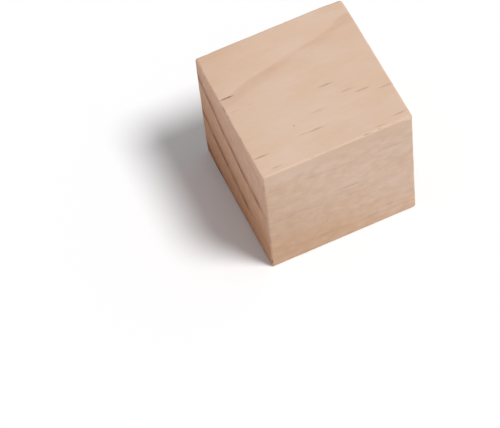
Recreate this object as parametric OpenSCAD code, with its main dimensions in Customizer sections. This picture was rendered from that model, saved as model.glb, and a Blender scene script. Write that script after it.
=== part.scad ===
// Solid wooden cube: one sawn and sanded piece of pale softwood.
//
// The grain runs along X, so the two faces across X are end grain. The origin is
// the centre of the bottom face, +Z is up and -Y is the front. Millimetres.

/* [Block] */
// Length along the grain, from one end grain face to the other
length = 30; // [10:0.5:80]
// Width across the grain, from the front face to the back face
width = 30; // [10:0.5:80]
// Height from the bottom face to the top face
height = 30; // [10:0.5:80]

/* [Edges] */
// Radius that sanding has left along the edges and round the corners
edge_radius = 0.4; // [0.1:0.05:2]

/* [Worn corner] */
// Depth that has worn off the top front right corner, in from its round
wear_depth = 0.4; // [0.05:0.05:1]
// Angle of the worn flat's outward direction, up from level
wear_rise = 31; // [15:1:75]
// Angle of the same direction, turned from the front towards the right
wear_turn = 12; // [10:1:80]

/* [Hidden] */

// Colour of the planed and sanded wood
pine = [0.86, 0.74, 0.65];

// Facets on every curve in the preview
$fn = 64;

size = [length, width, height];

// The ball centres: a box that stands one edge radius inside each face
core = size - 2 * edge_radius * [1, 1, 1];

// Two opposite values of a half size
function both(half) = [-half, half];

// One rod along an axis (0, 1 or 2), as long as the core, with a round section
module edge_rod(axis) {
    turn = [[0, 90, 0], [90, 0, 0], [0, 0, 0]][axis];
    rotate(turn)
        cylinder(h = core[axis], r = edge_radius, center = true);
}

// The four parallel edges along an axis, in their places round the core
module four_edges(axis) {
    across = (axis + 1) % 3;
    up = (axis + 2) % 3;
    for (a = both(core[across] / 2), b = both(core[up] / 2))
        translate([for (i = [0 : 2]) i == across ? a : i == up ? b : 0])
            edge_rod(axis);
}

// A slab that reaches the two faces across an axis and stops at the core elsewhere
module face_slab(axis) {
    cube([for (i = [0 : 2]) i == axis ? size[i] : core[i]], center = true);
}

// The whole block about its own centre, with every edge and corner rounded
module rounded_block() {
    for (axis = [0 : 2]) {
        face_slab(axis);
        four_edges(axis);
    }
    for (x = both(core.x / 2), y = both(core.y / 2), z = both(core.z / 2))
        translate([x, y, z])
            sphere(r = edge_radius);
}

// What has worn off the top front right corner: all that lies beyond a plane
// which stands the wear depth inside the ball of that corner
module corner_wear() {
    reach = norm(size);
    translate([core.x / 2, -core.y / 2, core.z / 2])
        rotate([0, 90 - wear_rise, wear_turn - 90])
            translate([-reach, -reach, edge_radius - wear_depth])
                cube(2 * reach);
}

module wooden_cube() {
    color(pine)
        translate([0, 0, height / 2])
            difference() {
                rounded_block();
                corner_wear();
            }
}

wooden_cube();
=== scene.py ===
"""A small wooden cube: one block of pale softwood, sawn, planed and lightly sanded.

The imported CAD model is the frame. The block made here stands for its one node, and
adds what the plain solid leaves out: the uneven sanding along the edges, the nicks,
the worn corner, the growth rings, the fibres and the resin canals.

Lengths are millimetres, except where a docstring says metres.
"""

import logging
import math
from dataclasses import dataclass, field
from enum import Enum
from typing import Any, Mapping, Union

import bpy
from mathutils import Matrix, Vector


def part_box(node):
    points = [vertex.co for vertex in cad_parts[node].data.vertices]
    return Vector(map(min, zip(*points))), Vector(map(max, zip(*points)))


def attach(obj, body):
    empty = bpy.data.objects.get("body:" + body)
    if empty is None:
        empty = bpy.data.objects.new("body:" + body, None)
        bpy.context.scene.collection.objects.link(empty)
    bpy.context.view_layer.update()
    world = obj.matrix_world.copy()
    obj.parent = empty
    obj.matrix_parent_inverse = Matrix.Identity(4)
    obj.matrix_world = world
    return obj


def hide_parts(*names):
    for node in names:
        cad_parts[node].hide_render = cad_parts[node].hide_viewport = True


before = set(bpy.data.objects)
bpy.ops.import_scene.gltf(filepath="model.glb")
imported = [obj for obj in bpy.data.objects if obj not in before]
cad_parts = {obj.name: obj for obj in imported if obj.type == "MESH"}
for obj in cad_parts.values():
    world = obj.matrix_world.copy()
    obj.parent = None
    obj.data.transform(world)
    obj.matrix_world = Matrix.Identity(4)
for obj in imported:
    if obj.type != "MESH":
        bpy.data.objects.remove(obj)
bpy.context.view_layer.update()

CAD_NODE = "wooden_cube"
BODY = "root"
MM = 0.001

WHITE = (1.0, 1.0, 1.0)
SEED_STEPS = (1.0, 1.7, 2.3)
HALF_TURN = 180.0
SOCKET_KINDS = {
    float: "NodeSocketFloat",
    int: "NodeSocketInt",
    tuple: "NodeSocketVector",
    bpy.types.Material: "NodeSocketMaterial",
}

Colour = tuple[float, float, float]
Triple = tuple[float, float, float]
# A span is where something starts and where it is full, in that order. A drift is how
# far something moves along y and z for each millimetre along the grain.
Span = tuple[float, float]
Drift = tuple[float, float]
Key = int | str
Feed = Union["Wire", float, int, str, tuple[float, ...], bpy.types.Material]
Settings = Mapping[str, Any] | None
Sockets = Mapping[Key, Feed] | None

log = logging.getLogger("wooden_cube")


def bearing(rise: float, turn: float) -> Vector:
    """Work out a direction.

    Args:
        rise: its angle up from level, in degrees.
        turn: its angle from the back round to the right, in degrees.

    Returns:
        The direction, one unit long.
    """
    up, aside = math.radians(rise), math.radians(turn)
    return Vector((math.cos(up) * math.sin(aside), math.cos(up) * math.cos(aside), math.sin(up)))


class Op(Enum):
    """The operations of Math and Vector Math nodes that this script uses."""

    ADD = "ADD"
    SUBTRACT = "SUBTRACT"
    MULTIPLY = "MULTIPLY"
    DIVIDE = "DIVIDE"
    POWER = "POWER"
    LEAST = "MINIMUM"
    MOST = "MAXIMUM"
    SIZE = "ABSOLUTE"
    SIGN = "SIGN"
    FRACTION = "FRACT"
    LENGTH = "LENGTH"
    UNIT = "NORMALIZE"
    DOT = "DOT_PRODUCT"
    DISTANCE = "DISTANCE"


class Blending(Enum):
    """The ways in which one colour goes over another."""

    MIX = "MIX"
    MULTIPLY = "MULTIPLY"


class Mark(Enum):
    """The attributes that the block's mesh carries for its finish."""

    ARRIS = "arris"
    END_GRAIN = "end_grain"


@dataclass(frozen=True)
class Noise:
    """A field of smooth noise.

    Attributes:
        grain: how many lumps there are to a millimetre, along each axis or along all.
        detail: how many finer layers are added.
        seed: how far the pattern is moved, so that two fields differ.
    """

    grain: Triple | float
    detail: float
    seed: float = 0.0

    def shift(self) -> Triple:
        """Work out how far the pattern is moved along each axis."""
        return tuple(self.seed * step for step in SEED_STEPS)


@dataclass(frozen=True)
class Wire:
    """An output of a node tree, on which Python's arithmetic adds Math nodes.

    Attributes:
        graph: the node tree that the socket is in.
        socket: the output to read from.
    """

    graph: "Graph"
    socket: bpy.types.NodeSocket

    @property
    def is_vector(self) -> bool:
        """Whether the output carries three numbers and not one."""
        return self.socket.type in ("VECTOR", "RGBA")

    def __add__(self, other: Feed) -> "Wire":
        """Add another value."""
        return self.graph.math(Op.ADD, self, other)

    def __radd__(self, other: Feed) -> "Wire":
        """Add this to a plain value."""
        return self.graph.math(Op.ADD, other, self)

    def __sub__(self, other: Feed) -> "Wire":
        """Take another value away."""
        return self.graph.math(Op.SUBTRACT, self, other)

    def __rsub__(self, other: Feed) -> "Wire":
        """Take this from a plain value."""
        return self.graph.math(Op.SUBTRACT, other, self)

    def __mul__(self, other: Feed) -> "Wire":
        """Multiply by another value."""
        return self.graph.math(Op.MULTIPLY, self, other)

    def __rmul__(self, other: Feed) -> "Wire":
        """Multiply a plain value by this."""
        return self.graph.math(Op.MULTIPLY, other, self)

    def __truediv__(self, other: Feed) -> "Wire":
        """Divide by another value."""
        return self.graph.math(Op.DIVIDE, self, other)

    def __pow__(self, other: Feed) -> "Wire":
        """Raise to a power."""
        return self.graph.math(Op.POWER, self, other)

    def __neg__(self) -> "Wire":
        """Turn the sign round."""
        return self.graph.math(Op.MULTIPLY, self, -1.0)

    def __abs__(self) -> "Wire":
        """Drop the sign."""
        return self.graph.math(Op.SIZE, self)


@dataclass(frozen=True)
class Graph:
    """A node tree while it is being built, of any of Blender's kinds.

    Attributes:
        tree: the node tree.
    """

    tree: bpy.types.NodeTree

    def feed(self, socket: bpy.types.NodeSocket, value: Feed) -> None:
        """Link a wire to an input, or set the input's own value.

        Args:
            socket: the input.
            value: a wire, or a constant. One number fills all of a vector.
        """
        if isinstance(value, Wire):
            self.tree.links.new(value.socket, socket)
        elif socket.type == "VECTOR" and not isinstance(value, tuple):
            socket.default_value = (value,) * 3
        elif socket.type == "RGBA":
            socket.default_value = (*value, 1.0)
        else:
            socket.default_value = value

    def node(self, kind: str, settings: Settings = None, sockets: Sockets = None) -> bpy.types.Node:
        """Add a node.

        Args:
            kind: Blender's name for the node type.
            settings: the node's own properties, which are set first.
            sockets: what feeds its inputs, by their name or number.

        Returns:
            The new node.
        """
        made = self.tree.nodes.new(kind)
        for name, value in (settings or {}).items():
            setattr(made, name, value)
        for key, value in (sockets or {}).items():
            self.feed(made.inputs[key], value)
        return made

    def wire(self, kind: str, settings: Settings = None, sockets: Sockets = None, key: Key = 0) -> Wire:
        """Add a node and read one of its outputs.

        Args:
            kind: Blender's name for the node type.
            settings: the node's own properties.
            sockets: what feeds its inputs, by their name or number.
            key: the name or number of the output.

        Returns:
            The output.
        """
        return Wire(self, self.node(kind, settings, sockets).outputs[key])

    def math(self, operation: Op, *values: Feed) -> Wire:
        """Work out one step of arithmetic, on vectors if any of the values is one.

        Args:
            operation: what to do.
            values: one value or more, in order.

        Returns:
            The result.
        """
        vector = any(isinstance(v, tuple) or (isinstance(v, Wire) and v.is_vector) for v in values)
        kind = "ShaderNodeVectorMath" if vector else "ShaderNodeMath"
        number = operation in (Op.LENGTH, Op.DOT, Op.DISTANCE)
        return self.wire(kind, {"operation": operation.value}, dict(enumerate(values)), 1 if number else 0)

    def least(self, first: Feed, second: Feed) -> Wire:
        """Take the smaller of two values, or of each of their parts."""
        return self.math(Op.LEAST, first, second)

    def most(self, first: Feed, second: Feed) -> Wire:
        """Take the larger of two values, or of each of their parts."""
        return self.math(Op.MOST, first, second)

    def rise(self, value: Feed, low: float, high: float) -> Wire:
        """Go smoothly from 0 to 1 as a value goes from low to high.

        Args:
            value: the value.
            low: where the result is 0. It may be above high, and then the result falls.
            high: where the result is 1.

        Returns:
            A value from 0 to 1.
        """
        low_high = {0: value, 1: min(low, high), 2: max(low, high)}
        ends = {3: 0.0, 4: 1.0} if low < high else {3: 1.0, 4: 0.0}
        return self.wire("ShaderNodeMapRange", {"interpolation_type": "SMOOTHSTEP"}, low_high | ends)

    def join(self, x: Feed, y: Feed, z: Feed) -> Wire:
        """Put three values together as a vector."""
        return self.wire("ShaderNodeCombineXYZ", None, {0: x, 1: y, 2: z})

    def split(self, vector: Wire) -> tuple[Wire, Wire, Wire]:
        """Take a vector apart into its three values."""
        outputs = self.node("ShaderNodeSeparateXYZ", None, {0: vector}).outputs
        return tuple(Wire(self, output) for output in outputs)

    def attribute(self, mark: Mark) -> Wire:
        """Read one of the values that the mesh carries."""
        return self.wire("ShaderNodeAttribute", {"attribute_name": mark.value}, None, "Fac")

    def noise(self, place: Wire, pattern: Noise) -> Wire:
        """Sample a field of noise.

        Args:
            place: where, in millimetres.
            pattern: the field.

        Returns:
            A value from 0 to 1, with 0.5 as its mean.
        """
        where = place * pattern.grain + pattern.shift()
        sockets = {"Vector": where, "Scale": 1.0, "Detail": pattern.detail}
        return self.wire("ShaderNodeTexNoise", None, sockets)

    def swing(self, place: Wire, pattern: Noise) -> Wire:
        """Sample a field of noise as a value round 0, from -0.5 to 0.5."""
        return self.noise(place, pattern) - 0.5

    def blend(self, share: Feed, first: Feed, second: Feed, mode: Blending = Blending.MIX) -> Wire:
        """Blend two colours.

        Args:
            share: how much of the second colour there is, from 0 to 1.
            first: the colour under.
            second: the colour over.
            mode: the way they blend.

        Returns:
            The colour.
        """
        settings = {"data_type": "RGBA", "blend_type": mode.value}
        return self.wire("ShaderNodeMix", settings, {0: share, 6: first, 7: second}, 2)

    def tint(self, colour: Feed, tint: Feed) -> Wire:
        """Multiply a colour by a tint."""
        return self.blend(1.0, colour, tint, Blending.MULTIPLY)


class Face(Enum):
    """The long faces that have marks of their own."""

    TOP = "top"
    FRONT = "front"


@dataclass(frozen=True)
class GrainMark:
    """A resin canal that comes to the surface as a short dash, or a pin knot.

    Attributes:
        along: its middle, from the left end.
        across: its distance from the back edge of the top, or from the top edge of the front.
        girth: its radius, which also sets how long a dash is.
        strength: how dark it is, from 0 to 1.
    """

    along: float
    across: float
    girth: float
    strength: float

    def place(self, face: Face, size: Vector) -> Vector:
        """Work out where its middle is on a face, for a block of a given size."""
        x, y, z = self.along - size.x / 2, size.y / 2, size.z
        return Vector((x, y - self.across, z) if face is Face.TOP else (x, -y, z - self.across))


@dataclass(frozen=True)
class Site:
    """What a finish knows about the place that it colours.

    Attributes:
        graph: the material's tree.
        place: the place, from the centre of the block's bottom face.
        run: how far it is from the left end.
        behind: how far it is behind the front face.
        below: how far it is below the top face.
        end_grain: 1 on an end and 0 on a long face.
        beside_end: 1 on an end and on the edges round it.
        arris: how near it is to the crest of an edge, from 0 to 1.
    """

    graph: Graph
    place: Wire
    run: Wire
    behind: Wire
    below: Wire
    end_grain: Wire
    beside_end: Wire
    arris: Wire

    def straightened(self, drift: Drift) -> Wire:
        """Undo a drift, so that what follows it runs along x from where it is at the left end."""
        return self.place - self.run * (0.0, *drift)


@dataclass(frozen=True)
class LateWood:
    """How the dark line at the end of a year's growth shows on one kind of face.

    Attributes:
        starts: when in the year it starts, from 0 to 1.
        full: when it is darkest.
        fades: when it starts to go, to be gone at the year's end.
        least: share of it that is left where it is faintest.
        speckle: share by which it varies from fibre to fibre.
    """

    starts: float
    full: float
    fades: float
    least: float
    speckle: float


@dataclass(frozen=True)
class GrowthRings:
    """Rings round a pith that lies above the block and in front of it.

    Attributes:
        pith: place of the pith as y and z at the left end, from the block's bottom centre.
        drift: drift of the rings.
        first: radius of the ring that ends just under the top face.
        step: width of a year's growth.
        ahead: whole years added before the part of a year is taken, so that none is below 0.
        waves: the waves in the rings.
        wave_height: height of the waves, from the lowest to the highest.
        slow_part: the part of a year over which the wood darkens before its line.
        slow_share: how much it darkens there.
        line_share: how dark the line is.
        patches: where the line is broken.
        patch_edge: the noise over which a patch comes on.
        speckles: how the line varies from fibre to fibre.
        speckle_mean: mean strength of the line after that.
        lines: the fine lines within a year's growth.
        rays: the rays that cross the rings.
    """

    pith: tuple[float, float] = (-32.6, 119.6)
    drift: Drift = (0.172, -0.037)
    first: float = 96.8
    step: float = 10.05
    ahead: float = 8.0
    waves: Noise = Noise((0.06, 0.24, 0.24), 2.0, 9.0)
    wave_height: float = 1.2
    slow_part: Span = (0.50, 0.95)
    slow_share: float = 0.15
    line_share: float = 0.85
    patches: Noise = Noise((0.08, 0.38, 0.38), 3.0, 5.0)
    patch_edge: Span = (0.34, 0.60)
    speckles: Noise = Noise((0.8, 3.2, 3.2), 2.0, 15.0)
    speckle_mean: float = 0.95
    lines: Noise = Noise((9.0, 1.0, 1.0), 3.0, 16.0)
    rays: Noise = Noise((0.8, 4.0, 4.0), 2.0, 18.0)

    def spoke(self, site: Site) -> Wire:
        """Work out how far a place is from the pith, square to the rings' own slope."""
        _, y, z = site.graph.split(site.straightened(self.drift))
        return site.graph.join(0.0, y - self.pith[0], z - self.pith[1])

    def years(self, site: Site, spoke: Wire) -> Wire:
        """Count the years out from the pith, with the end of the first ring in the block as 0."""
        wave = site.graph.swing(site.place, self.waves) * self.wave_height
        return (site.graph.math(Op.LENGTH, spoke) - self.first + wave) / self.step

    def late(self, site: Site, years: Wire, look: LateWood) -> Wire:
        """Say how much late wood there is: a slow rise through the year, then a line.

        Args:
            site: the place.
            years: the years out from the pith there.
            look: how the line shows.

        Returns:
            A value from 0 to about 1.
        """
        graph = site.graph
        phase = graph.math(Op.FRACTION, years + self.ahead)
        slow = graph.rise(phase, *self.slow_part) * self.slow_share
        line = graph.rise(phase, look.starts, look.full) * self.line_share
        patch = graph.rise(graph.noise(site.place, self.patches), *self.patch_edge)
        broken = patch * (1.0 - look.least) + look.least
        speckle = graph.swing(site.place, self.speckles) * look.speckle + self.speckle_mean
        return (slow + line) * graph.rise(phase, 1.0, look.fades) * broken * speckle

    def crossing_rays(self, site: Site, years: Wire, spoke: Wire) -> Wire:
        """Sample the rays, which run straight out from the pith, as a value round 0."""
        outward = site.graph.math(Op.UNIT, spoke) * self.first + site.graph.join(years, 0.0, 0.0)
        return site.graph.swing(outward, self.rays)


@dataclass(frozen=True)
class ResinCanals:
    """Dark canals along the grain, which surface as short dashes, and the pin knots.

    Attributes:
        drift: drift of the canals that surface on the top.
        front_drift: drift of the canals that surface on the front.
        edge: how far out from its radius a canal fades away, and how far in it is darkest.
        knot_edge: the same for a pin knot.
        dots: how a dash breaks up into dots.
        dot_share: share by which the dots vary.
        dot_least: how dark a dash is at its faintest.
        spacing: mean distance between the canals that surface on the other faces.
        weave: how those canals wander.
        weave_width: how far they wander.
        inner_girth: radius of the widest of them.
        inner_edge: how far out from its radius one fades away, and how far in it is darkest.
        inner_least: how dark the faintest of them is.
        inner_share: how much darker the darkest of them is.
        skin: depth under the top and the front over which they come on.
    """

    drift: Drift
    front_drift: Drift = (-0.05, -0.09)
    edge: Span = (0.06, -0.11)
    knot_edge: Span = (0.08, -0.10)
    dots: Noise = Noise((1.1, 2.5, 2.5), 1.0, 6.0)
    dot_share: float = 0.9
    dot_least: float = 0.45
    spacing: float = 2.8
    weave: Noise = Noise((0.09, 0.15, 0.15), 1.0, 12.0)
    weave_width: float = 0.8
    inner_girth: float = 0.13
    inner_edge: Span = (0.10, -0.04)
    inner_least: float = 0.1
    inner_share: float = 0.6
    skin: Span = (0.1, 0.5)

    def marked(self, site: Site, gap: Wire, mark: GrainMark, edge: Span) -> Wire:
        """Say how dark one mark is, at a gap from its middle."""
        out, within = edge
        return site.graph.rise(gap, mark.girth + out, mark.girth + within) * mark.strength

    def darkness(self, site: Site, size: Vector) -> Wire:
        """Say how dark the canals and the knots are.

        Args:
            site: the place.
            size: the block's size.

        Returns:
            A value from 0 to about 1.
        """
        graph = site.graph
        dark: Feed = 0.0
        for face, drift in ((Face.TOP, self.drift), (Face.FRONT, self.front_drift)):
            across = site.straightened(drift) * (0.0, 1.0, 1.0)
            for canal in CANALS[face]:
                spot = canal.place(face, size)
                centre = (0.0, spot.y - drift[0] * canal.along, spot.z - drift[1] * canal.along)
                gap = graph.math(Op.DISTANCE, across, centre)
                dark = graph.most(dark, self.marked(site, gap, canal, self.edge))
            for knot in PIN_KNOTS[face]:
                gap = graph.math(Op.DISTANCE, site.place, tuple(knot.place(face, size)))
                dark = graph.most(dark, self.marked(site, gap, knot, self.knot_edge))
        dots = graph.noise(site.place, self.dots) * self.dot_share + self.dot_least
        return graph.most(dark, self.inner(site)) * dots

    def inner(self, site: Site) -> Wire:
        """Say how dark the canals are that surface on the other faces.

        Args:
            site: the place.

        Returns:
            A value from 0 to 1.
        """
        graph = site.graph
        weave = graph.swing(site.place, self.weave) * self.weave_width
        _, y, z = graph.split(site.straightened(self.drift) + weave)
        where = graph.join(y, z, 0.0) / self.spacing
        settings = {"voronoi_dimensions": "2D"}
        cell = graph.node("ShaderNodeTexVoronoi", settings, {"Vector": where, "Scale": 1.0})
        girth, strength, _ = graph.split(Wire(graph, cell.outputs["Color"]))
        gap = Wire(graph, cell.outputs["Distance"]) * self.spacing - girth * self.inner_girth
        hidden = graph.rise(site.below, *self.skin) * graph.rise(site.behind, *self.skin)
        darkness = strength * self.inner_share + self.inner_least
        return graph.rise(gap, *self.inner_edge) * darkness * hidden


CANALS = {
    Face.TOP: (
        GrainMark(1.3, 10.9, 0.17, 1.00),
        GrainMark(1.4, 14.3, 0.15, 0.22),
        GrainMark(4.8, 14.2, 0.09, 0.20),
        GrainMark(18.6, 16.5, 0.17, 0.58),
        GrainMark(21.7, 19.3, 0.16, 0.37),
        GrainMark(24.3, 20.5, 0.17, 0.45),
        GrainMark(28.4, 21.7, 0.17, 0.40),
        GrainMark(14.9, 21.1, 0.17, 0.22),
        GrainMark(12.9, 24.6, 0.20, 0.40),
        GrainMark(10.6, 24.5, 0.15, 0.25),
        GrainMark(1.6, 25.5, 0.18, 0.52),
        GrainMark(3.2, 28.8, 0.14, 0.35),
        GrainMark(28.0, 28.3, 0.17, 0.40),
        GrainMark(23.7, 29.2, 0.14, 0.27),
    ),
    Face.FRONT: (
        GrainMark(16.9, 13.9, 0.15, 0.55),
        GrainMark(7.5, 15.3, 0.13, 0.28),
        GrainMark(22.5, 19.2, 0.13, 0.28),
        GrainMark(26.0, 25.4, 0.12, 0.40),
        GrainMark(21.8, 26.4, 0.10, 0.30),
        GrainMark(26.4, 6.9, 0.10, 0.32),
        GrainMark(5.8, 27.9, 0.10, 0.35),
    ),
}

PIN_KNOTS = {
    Face.TOP: (
        GrainMark(9.9, 22.1, 0.22, 0.43),
        GrainMark(5.0, 5.6, 0.20, 0.18),
    ),
    Face.FRONT: (
        GrainMark(17.0, 9.8, 0.28, 0.22),
        GrainMark(8.0, 12.7, 0.25, 0.18),
        GrainMark(23.0, 12.5, 0.25, 0.18),
        GrainMark(11.7, 22.0, 0.22, 0.22),
    ),
}


@dataclass(frozen=True)
class WoodColours:
    """The colours of pale softwood, and the tints that vary them.

    Attributes:
        early: colour of the pale early wood on a long face.
        late: colour of the late wood there.
        end_early: colour of the early wood on an end.
        end_late: colour of the late wood there.
        resin: colour of a resin canal or a pin knot.
        worn: colour of the wood along a sanded arris, paler than the faces: partly real wear, partly a
            painted highlight where the rounded edge catches the light.
        warm: tint of the yellower patches.
        cool: tint of the pinker patches.
        aged_and_shaded: tint of the wood furthest from the pith, which makes the block darker and yellower
            towards the bottom and the left end: partly the outer years' own tone, partly painted shade.
        end_aged_and_shaded: the further tint that an end takes there, darker towards the bottom: partly
            its own tone, partly painted shade.
    """

    early: Colour = (0.677, 0.490, 0.371)
    late: Colour = (0.628, 0.436, 0.324)
    end_early: Colour = (0.676, 0.464, 0.343)
    end_late: Colour = (0.262, 0.130, 0.076)
    resin: Colour = (0.300, 0.175, 0.100)
    # Paler than the faces: partly wear, partly painted highlight.
    worn: Colour = (0.750, 0.545, 0.400)
    warm: Colour = (0.980, 0.950, 0.903)
    cool: Colour = (1.008, 1.020, 1.042)
    aged_and_shaded: Colour = (0.8564, 0.7807, 0.6918)
    end_aged_and_shaded: Colour = (0.8239, 0.7339, 0.6309)


@dataclass(frozen=True)
class SandedPine:
    """Pale, fast-grown softwood, planed and sanded, with no finish on it.

    The wood is a solid pattern: rings round a pith that lies outside the block, and
    fibres and resin canals that run along the grain. Every face is a cut through it.
    A field of noise is sampled in millimetres. A share says how strongly a field shows.

    Attributes:
        size: length along the grain, width and height of the block.
        colours: the wood's colours.
        rings: the growth rings.
        side_line: how the late wood shows on a long face.
        end_line: how it shows on an end.
        fibre_drift: drift of the fibres.
        end_span: how squarely the surface faces an end where it starts, and is wholly, end grain.
        beside_span: the same for an end's edges.
        top_skin: depth under the top face over which the side faces' own look comes on.
        side_fade: share of the late wood that a side face loses.
        outer_part: years over which the end's late wood comes on.
        outer_share: how much of it comes on there.
        outer_least: how much of it there is before.
        fade_slope: how much further back, for each year, the left end's lines fade out.
        fade_span: how far behind the front face they fade, in year 0.
        fade_least: share of them that is left.
        fade_run: how far from the left end the fading stops.
        age_and_shade_run: years that a millimetre along the grain takes off the count for the outer tint,
            so that the wood is darker towards the left end: painted shade.
        age_and_shade_span: years over which the wood takes the outer tint, partly its own tone and partly
            painted shade.
        end_age_and_shade_span: years over which an end takes its own, partly painted shade.
        clouds: the warm and cool patches.
        cloud_mottle: how much of the mottle they hold.
        cloud_span: the noise over which they turn from warm to cool.
        coarse: the coarse fibres.
        fine: the fine fibres.
        mottle: the mottle of the side faces.
        flecks: the small dark flecks on them.
        fleck_span: the noise over which a fleck comes on.
        pores: the open ends of the fibres.
        sawn: the marks of the saw on the ends.
        coarse_share: share of the coarse fibres.
        fine_share: share of the fine fibres and of the fine growth lines.
        side_calm: share by which both are weaker on a side face.
        mottle_share: share of the mottle.
        fleck_share: share of the flecks.
        ray_share: share of the rays.
        pore_share: share of the pores.
        resin_share: share of the resin's colour in a canal.
        ticks: where an arris is paler still, in places.
        tick_span: the noise over which such a place comes on.
        rub_and_highlight_span: how near the crest the pale band starts and is full.
        rub_and_highlight_least: how pale an arris is all along, partly from wear and partly as painted
            highlight.
        rub_and_highlight_share: how much paler it is in places.
        near_left_end_run: how far from the left end the edges round an end stop being less pale.
        near_left_end_share: share by which the edges round the left end are less pale.
        rough: mean roughness.
        rough_coarse: how much rougher the coarse fibres are.
        rough_late: how much smoother the late wood is.
        gloss: strength of the reflection.
        fibre_height: height of the fibres, in millimetres.
        canal_depth: depth of a canal.
        end_height: height of the pores and the saw marks.
    """

    size: Vector
    colours: WoodColours = WoodColours()
    rings: GrowthRings = GrowthRings()
    side_line: LateWood = LateWood(0.90, 0.965, 0.98, 0.15, 0.9)
    end_line: LateWood = LateWood(0.68, 0.92, 0.95, 0.60, 0.4)
    fibre_drift: Drift = (-0.01, -0.117)
    end_span: Span = (0.68, 0.95)
    beside_span: Span = (0.2, 0.6)
    top_skin: Span = (0.3, 4.0)
    side_fade: float = 0.2
    outer_part: Span = (0.0, 0.65)
    outer_share: float = 0.75
    outer_least: float = 0.13
    fade_slope: float = 6.0
    fade_span: Span = (-4.5, -0.5)
    fade_least: float = 0.2
    fade_run: Span = (3.0, 7.0)
    age_and_shade_run: float = 0.075
    age_and_shade_span: Span = (-1.025, 1.675)
    end_age_and_shade_span: Span = (0.2, 2.6)
    clouds: Noise = Noise((0.10, 0.22, 0.22), 3.0, 4.0)
    cloud_mottle: float = 0.6
    cloud_span: Span = (0.3, 0.7)
    coarse: Noise = Noise((0.05, 1.6, 1.6), 3.0, 1.0)
    fine: Noise = Noise((0.22, 5.5, 5.5), 2.0, 2.0)
    mottle: Noise = Noise((0.45, 0.60, 0.60), 4.0, 14.0)
    flecks: Noise = Noise((1.3, 2.6, 2.6), 2.0, 22.0)
    fleck_span: Span = (0.60, 0.72)
    pores: Noise = Noise((0.5, 6.5, 6.5), 2.0, 19.0)
    sawn: Noise = Noise((1.0, 0.25, 4.5), 2.0, 20.0)
    coarse_share: float = 0.05
    fine_share: float = 0.07
    side_calm: float = 0.3
    mottle_share: float = 0.25
    fleck_share: float = 0.06
    ray_share: float = 0.22
    pore_share: float = 0.25
    resin_share: float = 0.85
    ticks: Noise = Noise(2.6, 2.0, 8.0)
    tick_span: Span = (0.50, 0.68)
    rub_and_highlight_span: Span = (0.2, 0.8)
    rub_and_highlight_least: float = 0.3
    rub_and_highlight_share: float = 0.6
    near_left_end_run: Span = (20.0, 10.0)
    near_left_end_share: float = 0.5
    rough: float = 0.66
    rough_coarse: float = 0.15
    rough_late: float = 0.08
    gloss: float = 0.16
    fibre_height: float = 0.02
    canal_depth: float = 0.12
    end_height: float = 0.03

    def site(self, graph: Graph) -> Site:
        """Read what the finish needs at the place that it colours.

        Args:
            graph: the material's tree.

        Returns:
            The place.
        """
        place = graph.wire("ShaderNodeTexCoord", None, None, "Object") / MM
        x, y, z = graph.split(place)
        facing_end = graph.attribute(Mark.END_GRAIN)
        return Site(
            graph,
            place,
            run=x + self.size.x / 2,
            behind=y + self.size.y / 2,
            below=self.size.z - z,
            end_grain=graph.rise(facing_end, *self.end_span),
            beside_end=graph.rise(facing_end, *self.beside_span),
            arris=graph.attribute(Mark.ARRIS),
        )

    def end_late(self, site: Site, years: Wire) -> Wire:
        """Say how much late wood an end shows. The left end's lines fade towards the front.

        Args:
            site: the place.
            years: the years out from the pith there.

        Returns:
            A value from 0 to about 1.
        """
        graph = site.graph
        outer = graph.rise(years, *self.outer_part) * self.outer_share + self.outer_least
        kept = graph.rise(site.behind - years * self.fade_slope, *self.fade_span)
        kept = kept * (1.0 - self.fade_least) + self.fade_least
        kept = graph.most(kept, graph.rise(site.run, *self.fade_run))
        return self.rings.late(site, years, self.end_line) * kept * outer

    def colour(self, site: Site, years: Wire, late: Wire, mottle: Wire) -> Wire:
        """Colour the bare wood, before its fine pattern.

        Args:
            site: the place.
            years: the years out from the pith there.
            late: how much late wood a long face shows.
            mottle: the mottle, round 0.

        Returns:
            The colour.
        """
        graph, colours = site.graph, self.colours
        side = graph.blend(late, colours.early, colours.late)
        end = graph.blend(self.end_late(site, years), colours.end_early, colours.end_late)
        wood = graph.blend(site.end_grain, side, end)
        cloud = graph.noise(site.place, self.clouds) + mottle * self.cloud_mottle
        tint = graph.blend(graph.rise(cloud, *self.cloud_span), colours.warm, colours.cool)
        wood = graph.tint(wood, tint)
        # Darker and yellower towards the bottom and the left end: partly the outer years' own tone, partly
        # painted shade.
        age_and_shade = graph.rise(years - site.run * self.age_and_shade_run, *self.age_and_shade_span)
        wood = graph.blend(age_and_shade, wood, graph.tint(wood, colours.aged_and_shaded))
        # The ends darker still towards the bottom: partly their own tone, partly painted shade.
        end_age_and_shade = graph.rise(years, *self.end_age_and_shade_span) * site.end_grain
        return graph.blend(end_age_and_shade, wood, graph.tint(wood, colours.end_aged_and_shaded))

    def rubbed_and_highlit(self, site: Site) -> Wire:
        """Say how pale the arris is: partly wear, partly a painted highlight along the rounded edge.

        Args:
            site: the place.

        Returns:
            A value from 0 to 1.
        """
        graph = site.graph
        ticks = graph.rise(graph.noise(site.place, self.ticks), *self.tick_span)
        near_left_end = site.beside_end * graph.rise(site.run, *self.near_left_end_run) * self.near_left_end_share
        rubbing_and_highlight = ticks * self.rub_and_highlight_share + self.rub_and_highlight_least
        return graph.rise(site.arris, *self.rub_and_highlight_span) * rubbing_and_highlight * (1.0 - near_left_end)

    def dress(self, name: str) -> bpy.types.Material:
        """Build the material.

        Args:
            name: what to call it.

        Returns:
            The material.
        """
        material = bpy.data.materials.new(name)
        material.use_nodes = True
        material.node_tree.nodes.clear()
        graph = Graph(material.node_tree)
        site = self.site(graph)
        spoke = self.rings.spoke(site)
        years = self.rings.years(site, spoke)

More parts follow.
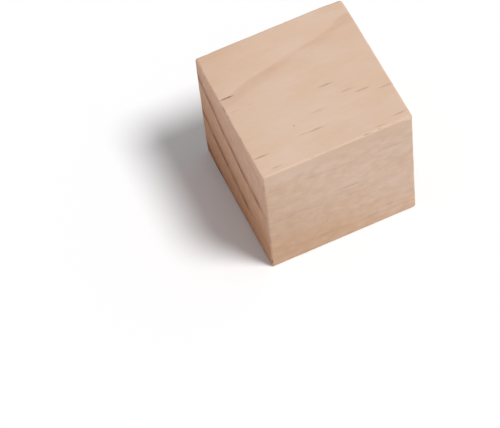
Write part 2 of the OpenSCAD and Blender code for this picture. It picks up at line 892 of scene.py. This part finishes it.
        on_side = graph.rise(site.below, *self.top_skin)
        late = self.rings.late(site, years, self.side_line) * (1.0 - on_side * self.side_fade)
        mottle = graph.swing(site.place, self.mottle) * on_side
        fibre = site.straightened(self.fibre_drift)
        coarse = graph.swing(fibre, self.coarse)
        fine = graph.swing(fibre, self.fine)
        lines = graph.swing(graph.join(years, 0.0, 0.0), self.rings.lines)
        rays = self.rings.crossing_rays(site, years, spoke) * site.end_grain
        pores = graph.swing(site.place, self.pores) * site.end_grain
        flecks = graph.rise(graph.noise(site.place, self.flecks), *self.fleck_span) * on_side

        streaks = coarse * self.coarse_share + (fine + lines) * self.fine_share
        shade = 1.0 + streaks * (1.0 - on_side * self.side_calm) + mottle * self.mottle_share
        shade = shade + rays * self.ray_share + pores * self.pore_share - flecks * self.fleck_share
        colour = self.colour(site, years, late, mottle)
        colour = graph.tint(colour, graph.join(shade, shade, shade))
        canals = ResinCanals(self.fibre_drift).darkness(site, self.size)
        colour = graph.blend(canals * self.resin_share, colour, self.colours.resin)
        # Paler arrises: partly wear, partly painted highlight.
        colour = graph.blend(self.rubbed_and_highlit(site), colour, self.colours.worn)

        rough = self.rough + coarse * self.rough_coarse - late * self.rough_late
        sawn = graph.noise(site.place, self.sawn) * site.end_grain
        height = (coarse + fine) * self.fibre_height - canals * self.canal_depth
        height = height + (sawn + pores) * self.end_height
        bump = graph.wire("ShaderNodeBump", None, {"Strength": 1.0, "Distance": MM, "Height": height})
        sockets = {"Base Color": colour, "Roughness": rough, "Normal": bump}
        sockets["Specular IOR Level"] = self.gloss
        shader = graph.wire("ShaderNodeBsdfPrincipled", None, sockets)
        graph.node("ShaderNodeOutputMaterial", None, {"Surface": shader})
        return material


@dataclass
class PineBlock:
    """The block of wood, with its edges and its faces as sanding and handling left them.

    It is shaped from a cube that reaches from -1 to 1 along each axis.

    Attributes:
        low: lowest corner of the CAD solid, in metres.
        high: highest corner of the CAD solid, in metres.
        cuts: how many faces the mesh has along each edge.
        crowding: how strongly the mesh's lines crowd towards the edges.
        edge_radius: mean radius of the sanded edges.
        unevenness: share by which that radius varies.
        wear_depth: depth worn off the top front right corner, in from its round.
        wear_rise: angle of the worn flat's outward direction, up from level, in degrees.
        wear_turn: angle of that direction from the front towards the right, in degrees.
        nick_depth: depth of the nicks along the edges.
        dish_depth: how far a face may dip below flat.
        seed: what the random patterns start from.
        lumps: how the radius varies along the edges.
        mask_reach: how far out on that cube what is true of one edge or corner comes on.
        worn_reach: the same for the worn corner.
        back_softness: share by which the radius is larger at the back corners.
        crispness: share by which it is smaller along the left end's top edge.
        crest_span: how squarely the surface faces an axis where an edge starts, and at its crest.
        roughness: how the worn flat varies.
        rough_height: height of that, from the lowest to the highest.
        dish: how the faces dip.
        nicks: where the nicks are.
        nick_span: the noise over which a nick comes on.
        ragged: how the crest of an edge varies between the nicks.
        ragged_share: depth of that, as a share of a nick's.
        inputs: the tree's inputs by their identifiers, which building the tree fills in.
    """

    low: Vector
    high: Vector
    cuts: int = 126
    crowding: float = 1.5
    edge_radius: float = 0.4
    unevenness: float = 0.5
    wear_depth: float = 0.4
    wear_rise: float = 31.0
    wear_turn: float = 12.0
    nick_depth: float = 0.24
    dish_depth: float = 0.05
    seed: float = 11.0
    lumps: Noise = Noise(0.35, 3.0)
    mask_reach: Span = (0.55, 0.80)
    worn_reach: Span = (0.45, 0.65)
    back_softness: float = 0.7
    crispness: float = 0.4
    crest_span: Span = (1.0, 0.72)
    roughness: Noise = Noise(3.0, 2.0, 31.0)
    rough_height: float = 0.12
    dish: Noise = Noise(0.07, 1.0)
    nicks: Noise = Noise(0.9, 1.0, 17.0)
    nick_span: Span = (0.60, 0.74)
    ragged: Noise = Noise(2.2, 2.0, 23.0)
    ragged_share: float = 0.5
    inputs: dict[str, Feed] = field(default_factory=dict, init=False)

    @property
    def size(self) -> Vector:
        """The block's length, width and height, in millimetres."""
        return (self.high - self.low) / MM

    def wear_direction(self) -> Vector:
        """Work out the direction that the worn flat faces."""
        return bearing(self.wear_rise, HALF_TURN - self.wear_turn)

    def new_tree(self, material: bpy.types.Material) -> tuple[Graph, dict[str, Wire]]:
        """Start the Geometry Nodes tree and its named inputs.

        Args:
            material: the finish, which the tree's last node sets.

        Returns:
            The tree, and each input's wire by its name.
        """
        tree = bpy.data.node_groups.new("sanded block", "GeometryNodeTree")
        tree.interface.new_socket("Geometry", in_out="OUTPUT", socket_type="NodeSocketGeometry")
        wanted = {
            "Size": tuple(self.size),
            "Cuts": self.cuts,
            "Crowding": self.crowding,
            "Edge radius": self.edge_radius,
            "Unevenness": self.unevenness,
            "Wear depth": self.wear_depth,
            "Wear direction": tuple(self.wear_direction()),
            "Nick depth": self.nick_depth,
            "Dish depth": self.dish_depth,
            "Seed": self.seed,
            "Finish": material,
        }
        for name, value in wanted.items():
            kind = SOCKET_KINDS[type(value)]
            socket = tree.interface.new_socket(name, in_out="INPUT", socket_type=kind)
            self.inputs[socket.identifier] = value
        graph = Graph(tree)
        entry = graph.node("NodeGroupInput")
        return graph, {name: Wire(graph, entry.outputs[name]) for name in wanted}

    def radius(self, graph: Graph, given: dict[str, Wire], unit: Wire, square: Wire) -> Wire:
        """Work out the radius that the sanding has left at each point.

        Args:
            graph: the block's tree.
            given: the tree's inputs.
            unit: the place of each point on the cube that the block is shaped from.
            square: its place on the block before the edges are rounded.

        Returns:
            The radius.
        """
        x, y, z = graph.split(unit)
        back_corner = graph.least(graph.least(abs(x), y), abs(z))
        worn_corner = graph.least(graph.least(x, -y), z)
        soft = graph.rise(back_corner, *self.mask_reach) * self.back_softness
        crisp = graph.rise(graph.least(-x, z), *self.mask_reach) * self.crispness
        lumps = graph.swing(square + given["Seed"], self.lumps) * 2.0 * given["Unevenness"]
        kept = 1.0 - graph.rise(worn_corner, *self.worn_reach)
        return given["Edge radius"] * (1.0 + (soft - crisp + lumps) * kept)

    def sanded_place(self, graph: Graph, given: dict[str, Wire]) -> tuple[Wire, Wire, Wire]:
        """Shape the block: crowd the mesh's lines towards the edges, then round them.

        Args:
            graph: the block's tree.
            given: the tree's inputs.

        Returns:
            The place of each point from the block's centre, the way its surface faces,
            and how near it is to the crest of an edge, from 0 to 1.
        """
        unit = graph.wire("GeometryNodeInputPosition")
        half = given["Size"] * 0.5
        left = graph.most(1.0 - abs(unit), (0.0, 0.0, 0.0))
        parts = [part ** given["Crowding"] for part in graph.split(left)]
        square = graph.math(Op.SIGN, unit) * (1.0 - graph.join(*parts)) * half

        radius = self.radius(graph, given, unit, square)
        core = half - radius
        inner = graph.least(graph.most(square, -core), core)
        facing = graph.math(Op.UNIT, square - inner)
        x, y, z = graph.split(abs(facing))
        flatness = graph.most(graph.most(x, y), z)
        return inner + facing * radius, facing, graph.rise(flatness, *self.crest_span)

    def worn_place(self, graph: Graph, given: dict[str, Wire], place: Wire) -> Wire:
        """Rub the top front right corner down to a slightly rough flat.

        Args:
            graph: the block's tree.
            given: the tree's inputs.
            place: the place of each point.

        Returns:
            The place, moved in where it stood beyond the flat.
        """
        radius = given["Edge radius"]
        ball = given["Size"] * (0.5, -0.5, 0.5) - graph.join(radius, -radius, radius)
        rough = graph.swing(place, self.roughness) * self.rough_height
        beyond = graph.math(Op.DOT, place - ball, given["Wear direction"])
        beyond = beyond - radius + given["Wear depth"] + rough
        return place - given["Wear direction"] * graph.most(beyond, 0.0)

    def surface_dip(self, graph: Graph, given: dict[str, Wire], place: Wire, crest: Wire) -> Wire:
        """Work out how far in from the plain rounded block the wood stands.

        Args:
            graph: the block's tree.
            given: the tree's inputs.
            place: the place of each point.
            crest: how near each point is to the crest of an edge.

        Returns:
            The distance, never below 0.
        """
        seeded = place + given["Seed"]
        dish = graph.noise(seeded, self.dish) * given["Dish depth"]
        nicks = graph.rise(graph.noise(seeded, self.nicks), *self.nick_span)
        ragged = graph.noise(seeded, self.ragged) * self.ragged_share
        return dish + (nicks + ragged) * given["Nick depth"] * crest

    def tree(self, material: bpy.types.Material) -> bpy.types.NodeTree:
        """Build the whole tree: cube, edges, corner, surface, marks and finish.

        Args:
            material: the finish.

        Returns:
            The tree.
        """
        graph, given = self.new_tree(material)
        points = given["Cuts"] + 1.0
        sockets = {"Size": 2.0, "Vertices X": points, "Vertices Y": points, "Vertices Z": points}
        cube = graph.wire("GeometryNodeMeshCube", None, sockets)
        place, facing, crest = self.sanded_place(graph, given)
        place = self.worn_place(graph, given, place)
        place = place - facing * self.surface_dip(graph, given, place, crest)
        _, _, height = graph.split(given["Size"])
        raised = (place + graph.join(0.0, 0.0, height * 0.5)) * MM

        along, _, _ = graph.split(abs(facing))
        marked = self.marked(graph, cube, Mark.ARRIS, crest)
        marked = self.marked(graph, marked, Mark.END_GRAIN, along)
        moved = graph.wire("GeometryNodeSetPosition", None, {"Geometry": marked, "Position": raised})
        smooth = graph.wire("GeometryNodeSetShadeSmooth", None, {"Geometry": moved})
        real = graph.wire("GeometryNodeRealizeInstances", None, {"Geometry": smooth})
        sockets = {"Geometry": real, "Material": given["Finish"]}
        dressed = graph.wire("GeometryNodeSetMaterial", None, sockets)
        graph.node("NodeGroupOutput", None, {0: dressed})
        return graph.tree

    def marked(self, graph: Graph, geometry: Wire, mark: Mark, value: Wire) -> Wire:
        """Store a value on every point of the mesh.

        Args:
            graph: the block's tree.
            geometry: the mesh.
            mark: the attribute to keep it under.
            value: the value.

        Returns:
            The mesh with the attribute on it.
        """
        settings = {"data_type": "FLOAT", "domain": "POINT"}
        sockets = {"Geometry": geometry, "Name": mark.value, "Value": value}
        return graph.wire("GeometryNodeStoreNamedAttribute", settings, sockets)

    def build(self, name: str) -> bpy.types.Object:
        """Make the block as a plain mesh, dressed in its finish.

        Args:
            name: the piece's name.

        Returns:
            The finished piece.
        """
        material = SandedPine(self.size).dress("sanded pine")
        maker = bpy.data.objects.new(name + "_maker", bpy.data.meshes.new(name + "_start"))
        bpy.context.scene.collection.objects.link(maker)
        modifier = maker.modifiers.new("sanded block", "NODES")
        modifier.node_group = self.tree(material)
        for identifier, value in self.inputs.items():
            modifier[identifier] = value
        shaped = maker.evaluated_get(bpy.context.evaluated_depsgraph_get())
        mesh = bpy.data.meshes.new_from_object(shaped)
        mesh.name = name
        bpy.data.objects.remove(maker)
        piece = bpy.data.objects.new(name, mesh)
        bpy.context.scene.collection.objects.link(piece)
        return piece


@dataclass(frozen=True)
class Lamp:
    """A lamp so far off that its light comes from one direction.

    Attributes:
        name: what to call it.
        direction: the way to it from the block.
        spread: how wide it looks from the block, in degrees.
        power: its power, in watts a square metre.
        colour: the colour of its light.
    """

    name: str
    direction: Triple
    spread: float
    power: float
    colour: Colour = WHITE

    def hang(self) -> bpy.types.Object:
        """Hang the lamp, turned towards the block."""
        data = bpy.data.lights.new(self.name, "SUN")
        data.angle = math.radians(self.spread)
        data.energy = self.power
        data.color = self.colour
        lamp = bpy.data.objects.new(self.name, data)
        lamp.location = self.direction
        lamp.rotation_mode = "QUATERNION"
        lamp.rotation_quaternion = (-Vector(self.direction)).to_track_quat("-Z", "Y")
        bpy.context.scene.collection.objects.link(lamp)
        return lamp


@dataclass(frozen=True)
class Studio:
    """A pale floor, an even sky, one soft lamp and a faint warm glow from the left.

    Attributes:
        reach: half the floor's side, in metres.
        floor: colour of the floor.
        floor_rough: roughness of the floor.
        floor_gloss: strength of the floor's reflection.
        sky: colour of the sky, as far as the light that it gives goes.
        lamps: the lamps.
    """

    reach: float = 60.0
    floor: Colour = (0.935, 0.935, 0.935)
    floor_rough: float = 0.9
    floor_gloss: float = 0.1
    sky: Colour = (0.354, 0.36, 0.375)
    lamps: tuple[Lamp, ...] = (
        Lamp("soft lamp", (0.38, -0.355, 1.0), 18.0, 2.53),
        Lamp("warm glow", (-1.0, 0.1, 0.0), 20.0, 0.38, (1.0, 0.15, 0.08)),
    )

    def lay_floor(self) -> bpy.types.Object:
        """Lay the floor that the block stands on."""
        mesh = bpy.data.meshes.new("floor")
        corners = [(x * self.reach, y * self.reach, 0.0) for x, y in ((-1, -1), (1, -1), (1, 1), (-1, 1))]
        mesh.from_pydata(corners, [], [(0, 1, 2, 3)])
        material = bpy.data.materials.new("pale floor")
        material.use_nodes = True
        shader = material.node_tree.nodes["Principled BSDF"]
        shader.inputs["Base Color"].default_value = (*self.floor, 1.0)
        shader.inputs["Roughness"].default_value = self.floor_rough
        shader.inputs["Specular IOR Level"].default_value = self.floor_gloss
        mesh.materials.append(material)
        floor = bpy.data.objects.new("floor", mesh)
        bpy.context.scene.collection.objects.link(floor)
        return floor

    def paint_sky(self) -> None:
        """Make the sky even, and white where it is seen directly."""
        world = bpy.data.worlds.new("sky")
        world.use_nodes = True
        world.node_tree.nodes.clear()
        graph = Graph(world.node_tree)
        seen = graph.wire("ShaderNodeLightPath", None, None, "Is Camera Ray")
        colour = graph.blend(seen, self.sky, WHITE)
        light = graph.wire("ShaderNodeBackground", None, {"Color": colour})
        graph.node("ShaderNodeOutputWorld", None, {"Surface": light})
        bpy.context.scene.world = world

    def set_up(self) -> None:
        """Put the floor, the lamps and the sky in place."""
        self.lay_floor()
        for lamp in self.lamps:
            lamp.hang()
        self.paint_sky()
        bpy.context.scene.view_settings.view_transform = "Standard"


@dataclass(frozen=True)
class Viewpoint:
    """A long lens that looks down on the block's top, front and left end.

    Attributes:
        place: where the camera is, in block heights from the centre of the bottom face.
        azimuth: the way it looks, from the back towards the right, in degrees.
        dip: how far it looks down, in degrees.
        roll: how far it leans to the left, in degrees.
        lens: focal length, in millimetres.
        sensor: width of the sensor, in millimetres.
    """

    place: Triple = (-3.778, -9.849, 15.741)
    azimuth: float = 18.75
    dip: float = 56.74
    roll: float = 7.06
    lens: float = 214.4
    sensor: float = 36.0

    def turned(self) -> Matrix:
        """Work out the camera's axes."""
        forward, roll = bearing(-self.dip, self.azimuth), math.radians(self.roll)
        level = forward.cross(Vector((0.0, 0.0, 1.0))).normalized()
        upright = level.cross(forward)
        right = level * math.cos(roll) - upright * math.sin(roll)
        up = right.cross(forward)
        return Matrix((right, up, -forward)).transposed().to_4x4()

    def set_up(self, height: float) -> bpy.types.Object:
        """Place the camera and make it the scene's own.

        Args:
            height: height of the block, in metres.

        Returns:
            The camera.
        """
        data = bpy.data.cameras.new("camera")
        data.lens = self.lens
        data.sensor_width = self.sensor
        data.clip_start = MM
        camera = bpy.data.objects.new("camera", data)
        camera.matrix_world = Matrix.Translation(Vector(self.place) * height) @ self.turned()
        bpy.context.scene.collection.objects.link(camera)
        bpy.context.scene.camera = camera
        return camera


def main() -> None:
    """Build the block, the studio and the camera, and put the block on its CAD body."""
    logging.basicConfig(level=logging.INFO, format="%(name)s: %(message)s")
    low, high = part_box(CAD_NODE)
    piece = PineBlock(low, high).build("pine_block")
    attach(piece, BODY)
    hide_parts(CAD_NODE)
    triangles = sum(len(p.vertices) - 2 for p in piece.data.polygons)
    log.info("%s: %d triangles, rides on %s, stands for %s", piece.name, triangles, BODY, CAD_NODE)
    Studio().set_up()
    Viewpoint().set_up(high.z - low.z)


if __name__ == "__main__":
    main()
